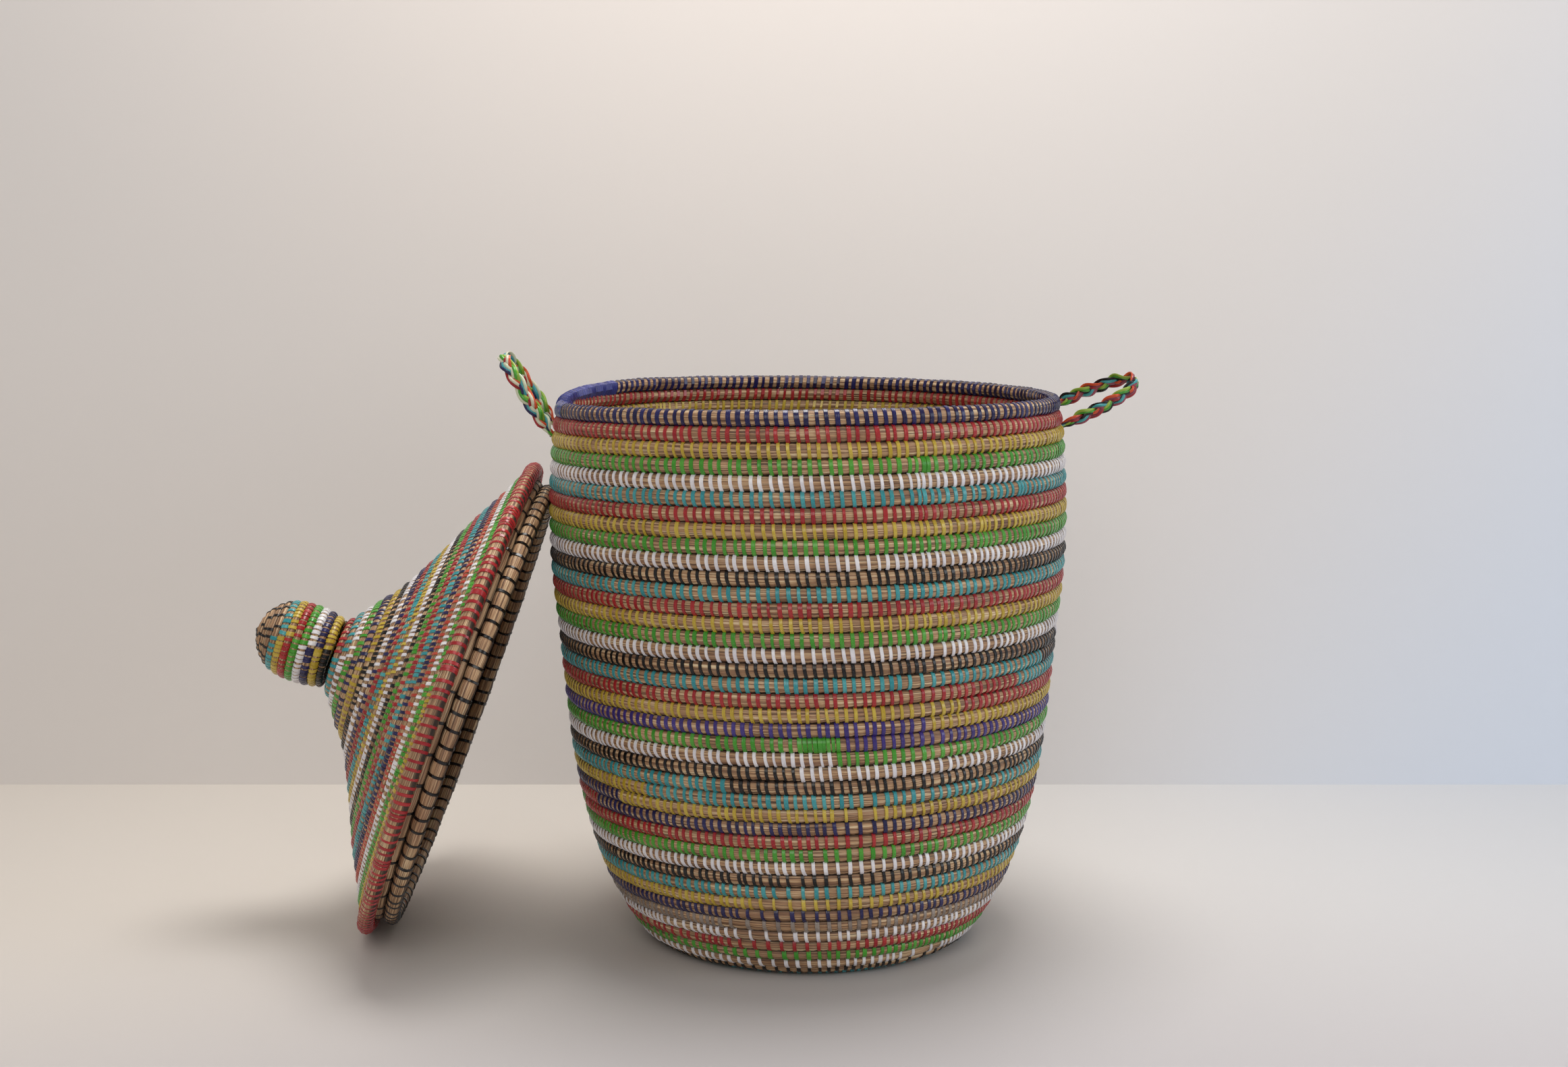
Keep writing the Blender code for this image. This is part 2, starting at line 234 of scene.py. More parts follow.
def makePiece(name, points, quads, grain, material, body, tone=None, crease=60):
    # One object from arrays of corners, four-sided faces and the map of each face's corners
    mesh = bpy.data.meshes.new(name)
    mesh.from_pydata(points.reshape(-1, 3), [], quads.reshape(-1, 4))
    mesh.uv_layers.new(name="grain").uv.foreach_set("vector", grain.astype(np.float32).ravel())
    # Per-corner value: each strip's own tone, and on straw the mask of its painted shade
    if tone is not None:
        mesh.attributes.new("tone", "FLOAT", "POINT").data.foreach_set(
            "value", tone.astype(np.float32).ravel()
        )
    mesh.materials.append(material)
    mesh.shade_smooth()
    mesh.set_sharp_from_angle(angle=math.radians(crease))
    obj = bpy.data.objects.new(name, mesh)
    bpy.context.scene.collection.objects.link(obj)
    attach(obj, body)
    return obj


def gridQuads(rows, columns, closedRows, closedColumns):
    # Faces between neighbours of a grid of corners, which may close on itself either way
    i = np.arange(rows if closedRows else rows - 1)[:, None]
    j = np.arange(columns if closedColumns else columns - 1)[None, :]
    after, beside = (i + 1) % rows, (j + 1) % columns
    corners = (
        i * columns + j,
        after * columns + j,
        after * columns + beside,
        i * columns + beside,
    )
    return np.stack(np.broadcast_arrays(*corners), -1).reshape(-1, 4)


def gridMap(rows, columns, closedRows, closedColumns, along, across):
    # Map of the same faces from the distances along the rows and across the columns
    i = np.arange(rows if closedRows else rows - 1)[:, None]
    j = np.arange(columns if closedColumns else columns - 1)[None, :]
    corners = [(i, j), (i + 1, j), (i + 1, j + 1), (i, j + 1)]
    pairs = [np.broadcast_arrays(along[a], across[b]) for a, b in corners]
    return np.stack([np.stack(pair, -1) for pair in pairs], -2).reshape(-1, 4, 2)


def capQuads(sides):
    # A ring of corners closed by a ladder of faces across it
    k = np.arange(sides // 2 - 1)
    return np.stack((k, k + 1, sides - k - 2, sides - k - 1), -1)


class Line:
    # Catmull-Rom curve through points (radius, height), kept above the floor, read by the
    # distance run along it: radius, height, and the way out of the surface
    def __init__(self, points, reach, samples=16):
        points = np.array(points, float)
        ends = np.vstack((2 * points[:1] - points[1:2], points, 2 * points[-1:] - points[-2:-1]))
        a, b, c, d = (ends[i : len(ends) - 3 + i, None] for i in range(4))
        share = (np.arange(samples) / samples)[None, :, None]
        curve = b + (c - a) * share / 2
        curve = curve + (2 * a - 5 * b + 4 * c - d) * share**2 / 2
        curve = curve + (3 * b - a - 3 * c + d) * share**3 / 2
        self.points = np.vstack((curve.reshape(-1, 2), points[-1:]))
        self.points[:, 1] = np.maximum(self.points[:, 1], 0)
        steps = np.hypot(*np.diff(self.points, axis=0).T)
        self.run = np.concatenate(([0], np.cumsum(steps)))
        self.length, self.reach = self.run[-1], reach

    def point(self, run):
        return [np.interp(run, self.run, self.points[:, i]) for i in range(2)]

    def at(self, run):
        radius, height = self.point(run)
        ahead, behind = self.point(run + self.reach), self.point(run - self.reach)
        outR, outZ = behind[1] - ahead[1], ahead[0] - behind[0]
        size = np.hypot(outR, outZ)
        return radius, height, outR / size, outZ / size


bundle = {
    # Lumps: (share of the thickness, length in metres, how many round the bundle, shift)
    "lumps": [(0.022, 0.047, 2, 1), (0.018, 0.083, -3, 0), (0.012, 0.019, 5, 2)],
    # A turn counts as no narrower than this where its length is measured, where a strip is
    # laid and where stitches are moved a little
    "runRadius": 0.006,
    "stripRadius": 0.004,
    "moveRadius": 0.01,
    "samples": 200,             # a turn
    "floor": 0.0002,            # nothing goes lower
}


class Coil:
    # A bundle of grass wound round an axis. sectionAt(turn) gives the middle of its oval
    # section (radius, height), its way out, half its height and half its depth.
    def __init__(self, sectionAt, first, last, firstAngle, place=Matrix(), rise=None):
        self.sectionAt = sectionAt
        self.rise = rise or (lambda angle, height: 0 * angle)
        self.firstAngle, self.place = math.radians(firstAngle), np.array(place)
        samples = bundle["samples"] * math.ceil(last - first)
        self.turns = np.linspace(first, last, samples + 1)
        radius = np.maximum(sectionAt(self.turns)[0], bundle["runRadius"])
        steps = tau * np.diff(self.turns) * (radius[1:] + radius[:-1]) / 2
        self.runs = np.concatenate(([0], np.cumsum(steps)))

    def runOf(self, turn):
        return np.interp(turn, self.turns, self.runs)

    def lumps(self, turn, around):
        # Uneven thickness of the bundle: 1 and a sum of sines along it and round it
        phase = tau * self.runOf(turn)
        return 1 + sum(
            share * np.sin(phase / length + count * around + shift)
            for share, length, count, shift in bundle["lumps"]
        )

    def turnOf(self, run):
        return np.interp(run, self.runs, self.turns)

    def spots(self, turn, out, down, along=0.0):
        # Points so far out and down from the middle of the section, and so far round
        radius, height, outR, outZ, _, _ = self.sectionAt(turn)
        radius, height = radius + outR * out + outZ * down, height + outZ * out - outR * down
        angle = self.firstAngle - tau * turn + along / np.maximum(radius, bundle["stripRadius"])
        height = height + self.rise(angle, height)
        wound = np.stack((radius * np.cos(angle), radius * np.sin(angle), height), -1)
        world = wound @ self.place[:3, :3].T + self.place[:3, 3]
        world[..., 2] = np.maximum(world[..., 2], bundle["floor"])
        return world


def stitchTurns(coil, first, last, spacing, drift, jitter=0.0004):
    # Each row's stitches follow those of the row before, moved on by drift. Where the rows
    # grow or shrink, stitches are put in the widest gaps or left out at the narrowest.
    count = round(tau * coil.sectionAt(np.array([first]))[0][0] / spacing)
    row = first + (np.arange(count) + 0.5) / count
    found = []
    while row[0] < last:
        found.append(row)
        radius = float(coil.sectionAt(row[:1] + 1)[0][0])
        row = row + 1 - drift / (tau * radius)
        wanted = max(4, round(tau * radius / spacing))
        while len(row) > wanted:
            tight = np.argsort(np.diff(row))[: max(1, (len(row) - wanted) // 2)]
            row = np.delete(row, tight)
        while len(row) < wanted:
            gaps = np.diff(row, append=row[0] + 1)
            wide = np.argsort(gaps)[::-1][: max(1, (wanted - len(row)) // 2)]
            row = np.sort(np.append(row, row[wide] + gaps[wide] / 2))
        ends = np.concatenate(([row[-1] - 1], row, [row[0] + 1]))
        row = np.sort((ends[:-2] + 2 * row + ends[2:]) / 4)
    turns = np.concatenate(found)
    radius = np.maximum(coil.sectionAt(turns)[0], bundle["moveRadius"])
    turns = np.sort(turns + chance.normal(0, jitter, len(turns)) / (tau * radius))
    return turns[(turns > first) & (turns < last)]


def strawCoil(name, coil, first, last, stitches, body, node=None, step=0.0023, sides=12):
    # Oval tube: out = half depth x cos, down = half height x sin, lumpy, and drawn in under
    # each stitch
    count = max(8, math.ceil((coil.runOf(last) - coil.runOf(first)) / step))
    run = np.linspace(coil.runOf(first), coil.runOf(last), count + 1)
    turn = coil.turnOf(run)[:, None]
    turn[0], turn[-1] = first, last
    around = tau * np.arange(sides + 1) / sides
    _, _, _, _, halfHeight, halfDepth = coil.sectionAt(turn)
    lumps = coil.lumps(turn, around)
    phase = np.interp(turn, stitches, np.arange(len(stitches)))
    dip = strip["pinch"] * (0.5 + 0.5 * np.cos(tau * phase))
    out = (halfDepth * lumps - dip) * np.cos(around)
    down = (halfHeight * lumps - dip) * np.sin(around)
    points = coil.spots(turn, out, down)[:, :sides]
    rings = len(run)
    caps = capQuads(sides)
    quads = np.vstack(
        (gridQuads(rings, sides, False, True), caps, caps[:, ::-1] + (rings - 1) * sides)
    )
    girth = around * float(np.mean(halfDepth))
    capMap = np.zeros((2 * len(caps), 4, 2))
    grain = np.vstack((gridMap(rings, sides, False, True, run, girth), capMap))
    # Mask of the painted shade in the straw: 1 at the top and bottom of the section, where the rows
    # meet, 0 at its front and back
    tone = np.broadcast_to(np.abs(np.sin(around[:sides])), (rings, sides))
    obj = makePiece(name, points, quads, grain, straw, body, tone)
    if node:
        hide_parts(node)
    return obj


# A stitch goes round the bundle: (out, down) in shares of the section, and share of its slant
wrapShares = np.array([
    (0.30, -0.955, 0.00),
    (0.64, -0.77, 0.02),
    (0.88, -0.47, 0.10),
    (1.00, -0.10, 0.26),
    (0.97, 0.26, 0.48),
    (0.83, 0.58, 0.74),
    (0.61, 0.84, 0.93),
    (0.30, 1.01, 1.02),
    (-0.72, 0.80, 1.00),
    (-1.02, 0.00, 0.50),
    (-0.72, -0.80, 0.00),
])
strip = {
    # Heights over the straw and places across the strip of its four corners
    "heights": np.array([-0.0004, 0.00020, 0.00020, -0.0004]),
    "sides": np.array([-0.5, -0.42, 0.42, 0.5]),
    "pinch": 0.0005,            # how far the straw is drawn in under each strip
    # How strips differ from each other: share of the width, slant and height over the straw
    "widthSpread": 0.10,
    "slantSpread": 0.0003,
    "heightSpread": 0.00012,
    "widths": (0.0014, 0.0050),  # narrowest and widest
    "mapSteps": (0.003, 0.0012),
    "mapShift": (3.0, 0.5),     # each strip has another part of the pattern
    "crease": 35,               # degrees between faces from which an edge is sharp
}


def stitchRow(name, coil, turns, colour, body, slant=None, width=None, path=wrapShares):
    # A flat strip round the bundle at each of these turns. Its section has four corners,
    # set square to the path in the plane of the bundle's section.
    count, steps = len(turns), len(path)
    wide = 1 + strip["widthSpread"] * chance.standard_normal(count)
    wide = np.clip((width or stripLook[colour][2]) * wide, *strip["widths"])[:, None, None]
    slant = stripLook[colour][3] if slant is None else slant
    lean = (slant + strip["slantSpread"] * chance.standard_normal(count))[:, None, None]
    raised = strip["heightSpread"] * chance.standard_normal(count)[:, None, None]
    tone = chance.random(count)
    turn = turns[:, None, None]
    _, _, _, _, halfHeight, halfDepth = coil.sectionAt(turn)
    lumps = coil.lumps(turn, np.arctan2(path[:, 1], path[:, 0])[None, :, None])
    out = path[None, :, 0, None] * halfDepth * lumps
    down = path[None, :, 1, None] * halfHeight * lumps
    goOut, goDown = (np.roll(v, -1, 1) - np.roll(v, 1, 1) for v in (out, down))
    size = np.hypot(goOut, goDown)
    lift = strip["heights"] + np.abs(raised)
    out = out + goDown / size * lift
    down = down - goOut / size * lift
    along = path[None, :, 2, None] * lean + wide * strip["sides"]
    points = coil.spots(turn, out, down, along)
    one = gridQuads(steps, 4, True, True)
    quads = one[None] + np.arange(count)[:, None, None] * steps * 4
    stepAlong, stepAcross = strip["mapSteps"]
    oneMap = gridMap(
        steps, 4, True, True, np.arange(steps + 1) * stepAlong, np.arange(5) * stepAcross
    )
    grain = oneMap[None] + chance.random((count, 1, 1, 2)) * strip["mapShift"]
    tones = np.broadcast_to(tone[:, None, None], (count, steps, 4))
    return makePiece(
        name, points, quads, grain, strips[colour], body, tones, strip["crease"]
    )


# The wall is one coil, wound from the rim down, with a new colour after a little more than
# each turn
wall = {
    "height": 0.4428,
    "radius": 0.2064,
    "line": [
        (0.9617, 1.0), (0.9695, 0.9729), (0.9874, 0.905), (0.9995, 0.7919), (0.9937, 0.6787),
        (0.9685, 0.5656), (0.9443, 0.4525), (0.9162, 0.3394), (0.8658, 0.2262),
        (0.8028, 0.1357), (0.7301, 0.0679), (0.6715, 0.0271), (0.6444, 0.0145),
        (0.6100, 0.0038), (0.5901, 0.00095), (0.5693, 0.0), (0.5392, 0.0), (0.2, 0.0),
        (0.0, 0.0),
    ],
    "colours": (
        "blue red yellow green white turquoise red yellow green white black turquoise red "
        "yellow green white black turquoise red yellow purple green white black turquoise "
        "yellow navy red green white black turquoise yellow navy grey white red green white "
        "black turquoise"
    ).split(),
    "rowsEnd": 0.1113,          # radius at which the wall's last row ends
    "firstTurns": 1.0,          # turns of the first colour, and of each other one
    "colourTurns": 29 / 28,
    "ease": 0.058,              # rows are this much taller at the top
    "endAngle": 177.0,          # where the coil ends on the rim
    "taperTurns": 0.12,         # over which it rises out of the row below
    "tipShare": 0.7,            # its thickness at the tip, and how deep the tip lies
    "tipLift": -0.75,
    # (distance below the rim, rise): the top rows are a little higher at the back
    "backRise": [
        (-0.01, 0.0034), (0.0, 0.0034), (0.0115, 0.0042), (0.023, 0.0058), (0.035, 0.0058),
        (0.06, 0.0044), (0.09, 0.0022), (0.13, 0.0006), (0.16, 0.0),
    ],
    "halfDepth": 0.0049,
    "inset": 0.0006,
    "overfill": 1.07,           # neighbouring rows press into each other
    "spacing": 0.0069,
    "drift": 0.0008,
    "stripShare": 0.93,         # of the strips' usual width
    "lashed": 0.03,             # turns either side of the first turn's end without stitches
    # Turns over which a row starts close-stitched, and by which its colour starts late
    "denseStarts": {22: 0.026},
    "lateStarts": {
        20: 0.012, 21: 0.0044, 22: 0.0165, 23: -0.0099, 24: -0.023, 25: -0.0197, 26: 0.0088,
    },
    "reach": 0.0056,            # half the length over which the wall's slope is taken
    "baseHole": 0.004,          # radius at which the base's last row ends
}
wallLine = Line(
    [(wall["radius"] * r, wall["height"] * z) for r, z in wall["line"]], wall["reach"]
)
colourStarts = [0.0] + [
    wall["firstTurns"] + wall["colourTurns"] * i for i in range(len(wall["colours"]))
]
wallTurns = colourStarts[-1]
onFloor = wallLine.points[:, 1] < 1e-6
footRun = np.interp(-wall["rowsEnd"], -wallLine.points[onFloor, 0], wallLine.run[onFloor])
basePitch = footRun / (wallTurns + 1) * (1 - wall["ease"])
baseTurns = wallTurns + (wall["rowsEnd"] - wall["baseHole"]) / basePitch


def wallRun(turn):
    # Distance down the line after so many turns, a little faster at the top; past the wall's
    # last row the pitch stays the same
    share = np.minimum(turn / (wallTurns + 1), 1)
    onward = np.maximum(turn - wallTurns - 1, 0) * basePitch
    return footRun * share * (1 + wall["ease"] * (1 - share)) + onward


def wallSection(turn):
    bottom = wallRun(turn + 1)
    row = bottom - wallRun(turn)
    # The coil's end swells and rises with the square root of the distance from its tip
    full = np.sqrt(np.clip(turn / wall["taperTurns"], 0, 1))
    thick = wall["tipShare"] + (1 - wall["tipShare"]) * full
    lift = wall["tipLift"] + (1 - wall["tipLift"]) * full
    radius, z, outR, outZ = wallLine.at(bottom - row * lift / 2)
    halfDepth = wall["halfDepth"] * np.sqrt(thick)
    inset = wall["inset"] + halfDepth
    halfHeight = row * thick / 2 * wall["overfill"]
    return radius - outR * inset, z - outZ * inset, outR, outZ, halfHeight, halfDepth


def backRise(angle, height):
    # Half a sine round the back, times the rise at this depth
    depth, rise = np.array(wall["backRise"]).T
    return np.clip(np.sin(angle), 0, 1) * np.interp(wall["height"] - height, depth, rise)


wallCoil = Coil(wallSection, 0.0, baseTurns, wall["endAngle"], rise=backRise)
wallStitches = stitchTurns(wallCoil, 0.0, baseTurns, wall["spacing"], wall["drift"])
for number, colour in enumerate(wall["colours"], 1):
    first, last = colourStarts[number - 1], colourStarts[number]
    node = f"wall_row_{number:02d}_{colour}"
    strawCoil(f"row_{number:02d}_straw", wallCoil, first, last, wallStitches, "basket", node)
    first = first + wall["lateStarts"].get(number, 0)
    last = last + wall["lateStarts"].get(number + 1, 0)
    here = wallStitches[(wallStitches > first) & (wallStitches <= last)]
    here = here[np.abs(here - 1) > wall["lashed"]]
    between = (here[1:] + here[:-1]) / 2
    close = between[between < first + wall["denseStarts"].get(number, 0)]
    stitchRow(
        f"row_{number:02d}_strips", wallCoil, np.sort(np.concatenate((here, close))), colour,
        "basket", width=stripLook[colour][2] * wall["stripShare"],
    )
print("wall made")

# Flat base: the same coil, wound in to the middle
strawCoil("base_straw", wallCoil, wallTurns, baseTurns, wallStitches, "basket", "base_disc")
baseColours = "yellow navy red green white black turquoise".split()
for i in range(math.ceil(baseTurns - wallTurns)):
    first = wallTurns + i
    here = wallStitches[(wallStitches > first) & (wallStitches <= first + 1)]
    if len(here):
        colour = baseColours[i % len(baseColours)]
        stitchRow(f"base_{i + 1:02d}_strips", wallCoil, here, colour, "basket")

# The coil's thin end is lashed down on the rim with strips laid side by side, from a little
# before it on the row that it lies on
rimLash = {
    # Turns before and beyond the tip on the row below, and from where to where on the end
    "before": 0.045,
    "beyond": 0.02,
    "start": 0.001,
    "after": 0.093,
    "spacing": 0.0024,
    "radius": 0.194,
    "fullness": (1.04, 1.03, 1.0),   # it stands over the other strips (out, down, slant)
}
lashStep = rimLash["spacing"] / (tau * rimLash["radius"])
lashPath = wrapShares * rimLash["fullness"]
for name, first, last in (
    ("rim_lashing_before", 1 - rimLash["before"], 1 + rimLash["beyond"]),
    ("rim_lashing", rimLash["start"], rimLash["after"]),
):
    lashTurns = np.arange(first, last, lashStep)
    stitchRow(name, wallCoil, lashTurns, "lash", "basket", path=lashPath)
print("base and rim made")


# The lid leans on the wall: its own axis is +Z before it is placed
lid = {
    "lean": 20.3,
    "turn": -1.4,
    "place": (-0.28862, 0.031, 0.19028),
    "coneHeight": 0.1,
    "coneReach": 0.19099,
    "neckRadius": 0.029704,
    "coneLine": [
        (0.0, 1.0), (0.0174, 0.965), (0.0502, 0.92), (0.0998, 0.86), (0.168, 0.78),
        (0.2325, 0.69), (0.3757, 0.56), (0.5586, 0.415), (0.7179, 0.295), (0.8543, 0.175),
        (1.0, 0.063),
    ],
    # The first row is a short one, round the knob's neck
    "coneColours": (
        "red turquoise white green navy yellow black white navy red turquoise yellow white "
        "black green red turquoise navy rust white green yellow"
    ).split(),
    # Where the straw is cut into its ten nodes, in shares of all the rows
    "coneCuts": [cut / 400 for cut in (-14, 27, 68, 108, 149, 190, 231, 272, 312, 353, 394)],
    "coneNodes": "turquoise green yellow white red yellow black red navy green".split(),
    "coneEnds": (-0.7, -0.3),   # turns by which the coil starts before 0 and ends early
    "jogAngle": -78.0,
    "halfDepth": 0.0043,
    "inset": 0.0005,
    "overfill": 1.06,
    "leastRow": 0.001,
    "spacing": 0.0049,
    "drift": 0.0024,
    "slant": 0.0012,
    "stripShare": 0.88,
    "reach": 0.0048,
}
leaning = Matrix.Rotation(math.radians(lid["turn"]), 4, "Z") @ Matrix.Rotation(
    math.radians(lid["lean"]) - math.pi / 2, 4, "Y"
)
lidPlace = Matrix.Translation(lid["place"]) @ leaning
coneLine = Line(
    [
        (lid["neckRadius"] + (lid["coneReach"] - lid["neckRadius"]) * r, lid["coneHeight"] * z)
        for r, z in lid["coneLine"]
    ],
    lid["reach"],
)
coneRows = len(lid["coneColours"]) - 1
coneFirst, coneLast = lid["coneEnds"][0], coneRows + lid["coneEnds"][1]


def evenRows(line, rows, look, leastRadius=0.0):
    # Section of a coil whose rows are equally high all down a line, and thin out to almost
    # nothing at its two ends
    def section(turn):
        top = np.clip(line.length * turn / rows, 0, line.length)
        bottom = np.clip(line.length * (turn + 1) / rows, 0, line.length)
        radius, z, outR, outZ = line.at((top + bottom) / 2)
        inset = look["inset"] + look["halfDepth"]
        halfHeight = np.maximum(bottom - top, lid["leastRow"]) / 2 * look["overfill"]
        radius = np.maximum(radius - outR * inset, leastRadius)
        halfDepth = np.full_like(halfHeight, look["halfDepth"])
        return radius, z - outZ * inset, outR, outZ, halfHeight, halfDepth

    return section


coneCoil = Coil(
    evenRows(coneLine, coneRows, lid), coneFirst, coneLast, lid["jogAngle"], lidPlace
)
coneStitches = stitchTurns(coneCoil, coneFirst, coneLast, lid["spacing"], lid["drift"])
for number, colour in enumerate(lid["coneNodes"], 1):
    first, last = (cut * coneRows for cut in lid["coneCuts"][number - 1 : number + 1])
    node = f"lid_cone_coil_{number:02d}_{colour}"
    strawCoil(f"lid_cone_{number:02d}_straw", coneCoil, first, last, coneStitches, "lid", node)
for number, colour in enumerate(lid["coneColours"]):
    first = max(number - 1, coneFirst)
    here = coneStitches[(coneStitches > first) & (coneStitches <= number)]
    stitchRow(
        f"lid_cone_{number:02d}_strips", coneCoil, here, colour, "lid",
        lid["slant"], stripLook[colour][2] * lid["stripShare"],
    )
print("cone made")


def ringSection(radius, height, out, halfHeight, halfDepth):
    # The same section all the way round
    def section(turn):
        return tuple(np.full_like(turn, v) for v in (radius, height, *out, halfHeight, halfDepth))

    return section


# Strips round a ring go all the way round its section: (out, down, share of the slant),
# the slant being nothing at the first corner and whole on the far side
ringAngles = tau * np.arange(12) / 12
ringStart = -2.2
ringPath = np.stack(
    (
        np.cos(ringAngles + ringStart),
        np.sin(ringAngles + ringStart),
        0.5 - 0.5 * np.cos(ringAngles),
    ),
    -1,
)
rim = {
    "radius": 0.1952,
    "height": -0.0010,
    "coil": 0.0063,
    "facing": 35.0,             # the strips' crest faces this way, above level
    "spacing": 0.0067,
    "jitter": 0.0004,           # turns
    "doubled": 0.06,            # share of the stitches that are made twice
    "second": 0.0030,           # how many turns after the first one
    "width": 0.0026,
    "slant": 0.0030,
}
facing = math.radians(rim["facing"])
rimCoil = Coil(
    ringSection(
        rim["radius"], rim["height"], (math.cos(facing), math.sin(facing)), rim["coil"], rim["coil"]
    ),
    0.0, 1.0, 0.0, lidPlace,
)
rimCount = round(tau * rim["radius"] / rim["spacing"])
rimStitches = (np.arange(rimCount) + 0.5) / rimCount
rimStitches = np.sort(rimStitches + chance.normal(0, rim["jitter"], rimCount))
strawCoil("lid_rim_straw", rimCoil, 0.0, 1.0, rimStitches, "lid", "lid_rim_coil", sides=16)
doubled = rimStitches[chance.random(rimCount) < rim["doubled"]] + rim["second"]
rimTurns = np.sort(np.concatenate((rimStitches, doubled)))
stitchRow(
    "lid_rim_strips", rimCoil, rimTurns, "red", "lid", rim["slant"], rim["width"],
    ringPath,
)

plug = {
    "radius": 0.1819,
    # Height of the ring's middle, half its thickness, and its strips' slant
    "upper": (-0.0056, 0.0064, 0.0030),
    "lower": (-0.0173, 0.0064, -0.0015),
    "spacing": 0.0120,
    "shift": 0.0012,            # turns from a lower strip to the upper one beside it
    "jitter": 0.0008,           # turns
    "width": 0.0024,
}


def plugRing(which, turns):
    # A plain ring of straw under the lid, tied with thin black strips
    height, half, slant = plug[which]
    section = ringSection(plug["radius"], height, (1.0, 0.0), half, half)
    coil = Coil(section, 0.0, 1.0, 0.0, lidPlace)
    node = "lid_plug_coil_" + which
    strawCoil(f"lid_plug_{which}_straw", coil, 0.0, 1.0, turns, "lid", node, sides=16)
    stitchRow(
        f"lid_plug_{which}_strips", coil, turns, "black", "lid", slant,
        plug["width"], ringPath,
    )


plugCount = 2 * round(math.pi * plug["radius"] / plug["spacing"])
plugTurns = (np.arange(plugCount) + 0.5) / plugCount
plugTurns = np.sort(plugTurns + chance.normal(0, plug["jitter"], plugCount))
plugRing("lower", plugTurns)
plugRing("upper", plugTurns[::2] + plug["shift"])
print("rim and plug made")

knob = {
    "height": 0.066,
    "radius": 0.0333,
    "line": [
        (0.0, 1.0), (0.2, 0.985), (0.55, 0.9), (0.82, 0.76), (0.965, 0.59), (1.0, 0.4),
        (0.985, 0.24), (0.93, 0.1), (0.892, 0.0),
    ],
    "reach": 0.003,
    "capRows": 5,               # rows of bare straw at the tip, tied with every second strip
    "capWidth": 0.0022,
    "colours": "turquoise yellow red green white navy yellow black".split(),
    "width": 0.0032,
    "slant": 0.0007,
    "halfDepth": 0.0032,
    "inset": 0.0006,
    "overfill": 1.08,
    "leastRadius": 0.0012,
    "early": 0.3,               # turns by which the coil ends before the neck
    "spacing": 0.0040,
    "drift": 0.0008,
    "jitter": 0.0003,
}
knobLine = Line(
    [(knob["radius"] * r, lid["coneHeight"] + knob["height"] * z) for r, z in knob["line"]],
    knob["reach"],
)
knobRows = knob["capRows"] + len(knob["colours"])
knobEnd = knobRows - knob["early"]
knobCoil = Coil(
    evenRows(knobLine, knobRows, knob, knob["leastRadius"]), 0.0, knobEnd, lid["jogAngle"],
    lidPlace,
)
knobStitches = stitchTurns(
    knobCoil, 0.0, knobEnd, knob["spacing"], knob["drift"], knob["jitter"]
)
strawCoil("lid_knob_straw", knobCoil, 0.0, knobEnd, knobStitches, "lid", "lid_knob")
for number, colour in enumerate(["black"] * knob["capRows"] + knob["colours"], 1):
    here = knobStitches[(knobStitches > number - 1) & (knobStitches <= number)]
    bare = number <= knob["capRows"]
    stitchRow(
        f"lid_knob_{number:02d}_strips", knobCoil, here[::2] if bare else here, colour, "lid",
        knob["slant"], knob["capWidth"] if bare else knob["width"],
    )
print("knob made")


plait = {
    "halfWidth": 0.0185,
    "length": 0.0625,
    "bluntness": 3.0,
    "period": 0.036,
    "swing": 0.0030,
    "weave": 0.0017,
    "strandHalf": 0.0030,
    "stripHalf": (0.0014, 0.0009),
    "root": 0.0075,             # how far its ends reach past the hinge line, into the wall
    "tied": (0.014, 0.4),       # its ends narrow over this length to this share
    "uneven": (0.35, 0.083),    # the plait's phase wanders: how far, and over what length
    "bend": (0.0004, 0.019),    # so do the strips
    "crown": (1.3, 0.5),        # the middle strip is thicker than the outer two
    "step": 0.0014,
    "mapStep": 0.0007,
}
loops = {
    "loop_left": {
        "hinge": (-0.20568, 0, 0.41430), "turn": 180, "lift": 58, "roll": -12, "wobble": 0.4,
        "strands": [
            ["orange", "cream", "red"],
            ["cream", "turquoise", "navy"],
            ["lime", "green", "cream"],
        ],
    },
    "loop_right": {
        "hinge": (0.20605, 0, 0.41999), "turn": 0, "lift": 27, "roll": 23, "wobble": 1.9,
        "strands": [
            ["orange", "maroon", "red"],
            ["black", "turquoise", "maroon"],
            ["lime", "green", "black"],
        ],
    },
}
tubeSides = 8


def plaitPath():
    # From one end round the tip to the other: a half oval whose sides are nearly straight,
    # x = length x cos to a power, y = half width x sin
    angle = np.linspace(-1, 1, 401) * math.pi / 2
    x = plait["length"] * np.cos(angle) ** (2 / plait["bluntness"])
    y = plait["halfWidth"] * np.sign(angle) * np.abs(np.sin(angle))
    path = np.stack((x, y), -1)
    root = np.array([[-plait["root"], -plait["halfWidth"]]])
    path = np.vstack((root, path, root * (1, -1)))
    run = np.concatenate(([0], np.cumsum(np.hypot(*np.diff(path, axis=0).T))))
    along = np.linspace(0, run[-1], round(run[-1] / plait["step"]))
    return along, np.stack([np.interp(along, run, path[:, i]) for i in range(2)], -1)


